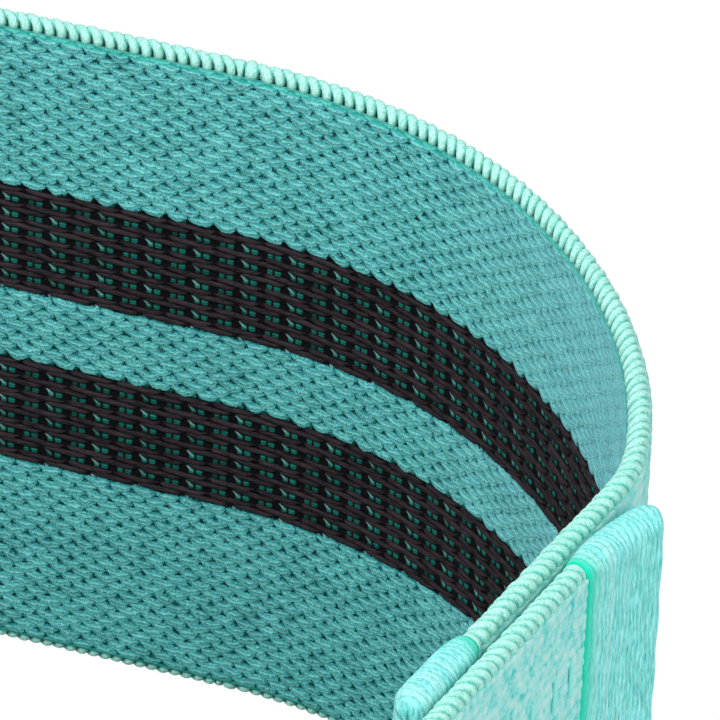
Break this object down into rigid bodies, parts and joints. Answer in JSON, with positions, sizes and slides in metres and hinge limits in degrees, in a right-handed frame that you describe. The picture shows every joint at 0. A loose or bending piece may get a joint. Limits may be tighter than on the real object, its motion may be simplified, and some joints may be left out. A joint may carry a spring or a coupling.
{
  "type": "fabric resistance band",
  "caption": "Wide woven elastic loop worn round both legs; stretches for hip and leg exercise, with raised grip stripes inside and a sewn lap.",
  "frame": {"origin": "centre of the bounding box in plan, on the surface that the loop stands on", "axes": "+Z along the band's width, up from the lower selvage; +X along the oval's long axis, towards the end with the sewn lap, which is the direction of stretch; +Y to the far wall"},
  "size_m": [0.2704, 0.1562, 0.084],
  "materials": {
    "teal_face_cloth": "ribbed weave",
    "mint_face_cloth": "soft brushed weave",
    "rubber_thread": "matt, dusted with talc",
    "selvage_yarn": "corded",
    "filler_cord": "twisted",
    "grip_cord": "matt, covered rubber",
    "overcast_thread": "satin stitch",
    "seam_thread": "lockstitch"
  },
  "bodies": {
    "lap_end": {"inner_face_cloth_inner_tail": "teal_face_cloth", "outer_face_cloth_inner_tail": "mint_face_cloth", "rubber_threads_inner_tail": "rubber_thread", "upper_selvage_inner_tail": "selvage_yarn", "lower_selvage_inner_tail": "selvage_yarn", "selvage_filler_cords_inner_tail": "filler_cord", "upper_grip_cords_inner_tail": "grip_cord", "lower_grip_cords_inner_tail": "grip_cord", "inner_face_cloth_outer_tail": "teal_face_cloth", "outer_face_cloth_outer_tail": "mint_face_cloth", "rubber_threads_outer_tail": "rubber_thread", "upper_selvage_outer_tail": "selvage_yarn", "lower_selvage_outer_tail": "selvage_yarn", "selvage_filler_cords_outer_tail": "filler_cord", "upper_grip_cords_outer_tail": "grip_cord", "lower_grip_cords_outer_tail": "grip_cord", "inner_end_overcast": "overcast_thread", "outer_end_overcast": "overcast_thread", "lap_seam_threads": "seam_thread"},
    "far_wall": {"inner_face_cloth_far_wall": "teal_face_cloth", "outer_face_cloth_far_wall": "mint_face_cloth", "rubber_threads_far_wall": "rubber_thread", "upper_selvage_far_wall": "selvage_yarn", "lower_selvage_far_wall": "selvage_yarn", "selvage_filler_cords_far_wall": "filler_cord", "upper_grip_cords_far_wall": "grip_cord", "lower_grip_cords_far_wall": "grip_cord"},
    "free_end": {"inner_face_cloth_free_end": "teal_face_cloth", "outer_face_cloth_free_end": "mint_face_cloth", "rubber_threads_free_end": "rubber_thread", "upper_selvage_free_end": "selvage_yarn", "lower_selvage_free_end": "selvage_yarn", "selvage_filler_cords_free_end": "filler_cord", "upper_grip_cords_free_end": "grip_cord", "lower_grip_cords_free_end": "grip_cord"},
    "near_wall": {"inner_face_cloth_near_wall": "teal_face_cloth", "outer_face_cloth_near_wall": "mint_face_cloth", "rubber_threads_near_wall": "rubber_thread", "upper_selvage_near_wall": "selvage_yarn", "lower_selvage_near_wall": "selvage_yarn", "selvage_filler_cords_near_wall": "filler_cord", "upper_grip_cords_near_wall": "grip_cord", "lower_grip_cords_near_wall": "grip_cord"}
  },
  "joints": [
    {"name": "free_end_stretch", "type": "slide", "parent": "lap_end", "child": "free_end", "axis": [-1, 0, 0], "range_m": [0, 0.14], "stiffness_N_per_m": 900},
    {"name": "far_wall_stretch", "type": "slide", "parent": "lap_end", "child": "far_wall", "axis": [-1, 0, 0], "range_m": [0, 0.07], "deforming": ["inner_face_cloth_far_wall", "outer_face_cloth_far_wall", "rubber_threads_far_wall", "upper_selvage_far_wall", "lower_selvage_far_wall", "selvage_filler_cords_far_wall", "upper_grip_cords_far_wall", "lower_grip_cords_far_wall"]},
    {"name": "near_wall_stretch", "type": "slide", "parent": "lap_end", "child": "near_wall", "axis": [-1, 0, 0], "range_m": [0, 0.07], "deforming": ["inner_face_cloth_near_wall", "outer_face_cloth_near_wall", "rubber_threads_near_wall", "upper_selvage_near_wall", "lower_selvage_near_wall", "selvage_filler_cords_near_wall", "upper_grip_cords_near_wall", "lower_grip_cords_near_wall"]}
  ],
  "couplings": [
    {"joint": "far_wall_stretch", "follows": "free_end_stretch", "ratio": 0.5},
    {"joint": "near_wall_stretch", "follows": "free_end_stretch", "ratio": 0.5}
  ]
}
